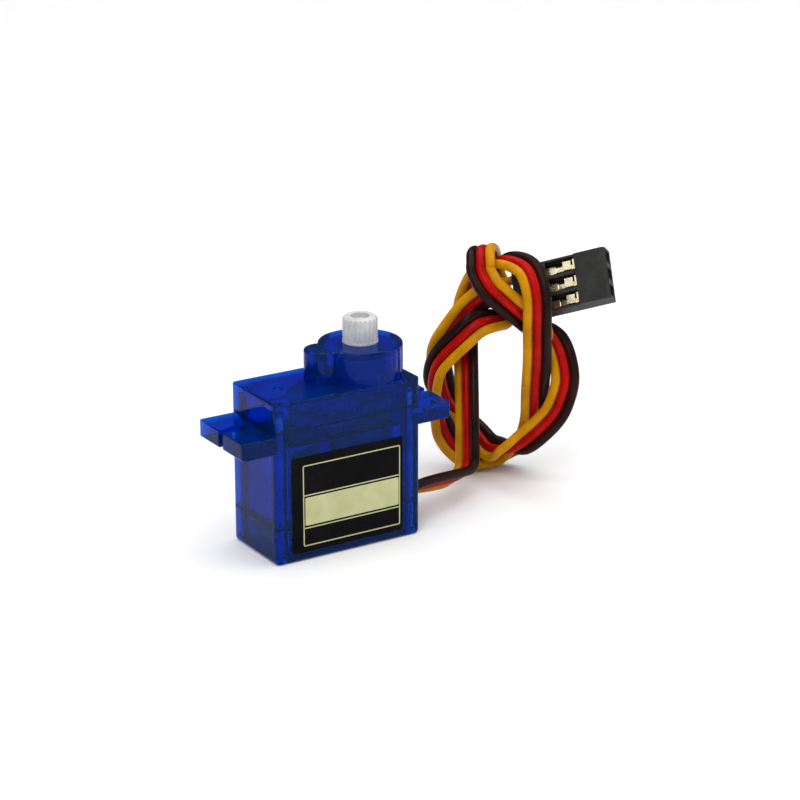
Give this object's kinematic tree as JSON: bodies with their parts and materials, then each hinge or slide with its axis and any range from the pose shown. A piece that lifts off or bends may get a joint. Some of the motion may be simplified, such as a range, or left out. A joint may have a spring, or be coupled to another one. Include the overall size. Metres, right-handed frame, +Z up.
{
  "type": "hobby servo motor",
  "caption": "Small rotary hobby servo: translucent case with slotted ears, geared motor inside, splined output shaft and a flat lead with a plug.",
  "frame": {"origin": "centre of the case's underside", "axes": "+Z up along the output shaft, +X along the case towards the output end, -Y the label face"},
  "size_m": [0.0612, 0.0218, 0.0356],
  "materials": {
    "case_plastic": "translucent cobalt-blue moulded plastic",
    "white_nylon": "natural white nylon",
    "label_film": "printed film sticker",
    "zinc_steel": "zinc-plated",
    "polished_steel": "ground",
    "can_steel": "drawn, nickel-plated",
    "bronze": "sintered or sprung bronze",
    "ferrite": "dark ceramic",
    "black_plastic": "moulded black",
    "pot_plastic": "moulded",
    "phenolic": "laminate",
    "tinned_metal": "tinned",
    "board_green": "solder-resist laminate",
    "component_tan": "moulded",
    "copper": "enamelled",
    "brass": "hobbed",
    "gold_plate": "flash-gold plated",
    "wire_brown": "PVC insulation",
    "wire_red": "PVC insulation",
    "wire_yellow": "PVC insulation"
  },
  "bodies": {
    "case": {"top_cover": "case_plastic", "middle_case": "case_plastic", "bottom_cover": "case_plastic", "case_screws": "zinc_steel", "front_label": "label_film", "idler_pin": "polished_steel", "motor_can": "can_steel", "motor_bearing": "bronze", "motor_magnets": "ferrite", "motor_end_cap": "black_plastic", "motor_brushes": "bronze", "motor_terminals": "tinned_metal", "pot_body": "pot_plastic", "pot_board": "phenolic", "pot_resistor": "ferrite", "pot_terminals": "tinned_metal", "pot_leads": "wire_red", "control_board": "board_green", "controller_chip": "black_plastic", "chip_leads": "tinned_metal", "board_components": "component_tan", "lead_stub": "wire_brown", "lead_conductors": "tinned_metal", "lead_tube": "wire_yellow", "lead_bundle": "wire_yellow", "connector_housing": "black_plastic", "connector_contacts": "gold_plate"},
    "rotor": {"motor_shaft": "polished_steel", "armature_core": "can_steel", "armature_windings": "copper", "commutator": "copper", "motor_pinion": "brass"},
    "gear_1": {"reduction_gear_1": "white_nylon"},
    "gear_2": {"reduction_gear_2": "white_nylon"},
    "gear_3": {"reduction_gear_3": "white_nylon"},
    "output": {"output_gear": "white_nylon", "pot_shaft": "pot_plastic", "pot_wiper": "bronze"}
  },
  "joints": [
    {"name": "motor_turn", "type": "hinge", "parent": "case", "child": "rotor", "pos_m": [-0.00655, 0, 0.012], "axis": [0, 0, 1], "range_deg": [-11696.4, 11696.4]},
    {"name": "gear_1_turn", "type": "hinge", "parent": "case", "child": "gear_1", "pos_m": [-0.00055, 0, 0.018], "axis": [0, 0, 1], "range_deg": [-3078.05, 3078.05]},
    {"name": "gear_2_turn", "type": "hinge", "parent": "case", "child": "gear_2", "pos_m": [0.00545, 0, 0.019], "axis": [0, 0, 1], "range_deg": [-1026.05, 1026.05]},
    {"name": "gear_3_turn", "type": "hinge", "parent": "case", "child": "gear_3", "pos_m": [-0.00055, 0, 0.021], "axis": [0, 0, 1], "range_deg": [-270.05, 270.05]},
    {"name": "output_turn", "type": "hinge", "parent": "case", "child": "output", "pos_m": [0.00545, 0, 0.0273], "axis": [0, 0, 1], "range_deg": [-90.01, 90.01]}
  ],
  "couplings": [
    {"joint": "gear_1_turn", "follows": "motor_turn", "ratio": -0.26316},
    {"joint": "gear_2_turn", "follows": "motor_turn", "ratio": 0.087719},
    {"joint": "gear_3_turn", "follows": "motor_turn", "ratio": -0.023084},
    {"joint": "output_turn", "follows": "motor_turn", "ratio": 0.0076947}
  ]
}
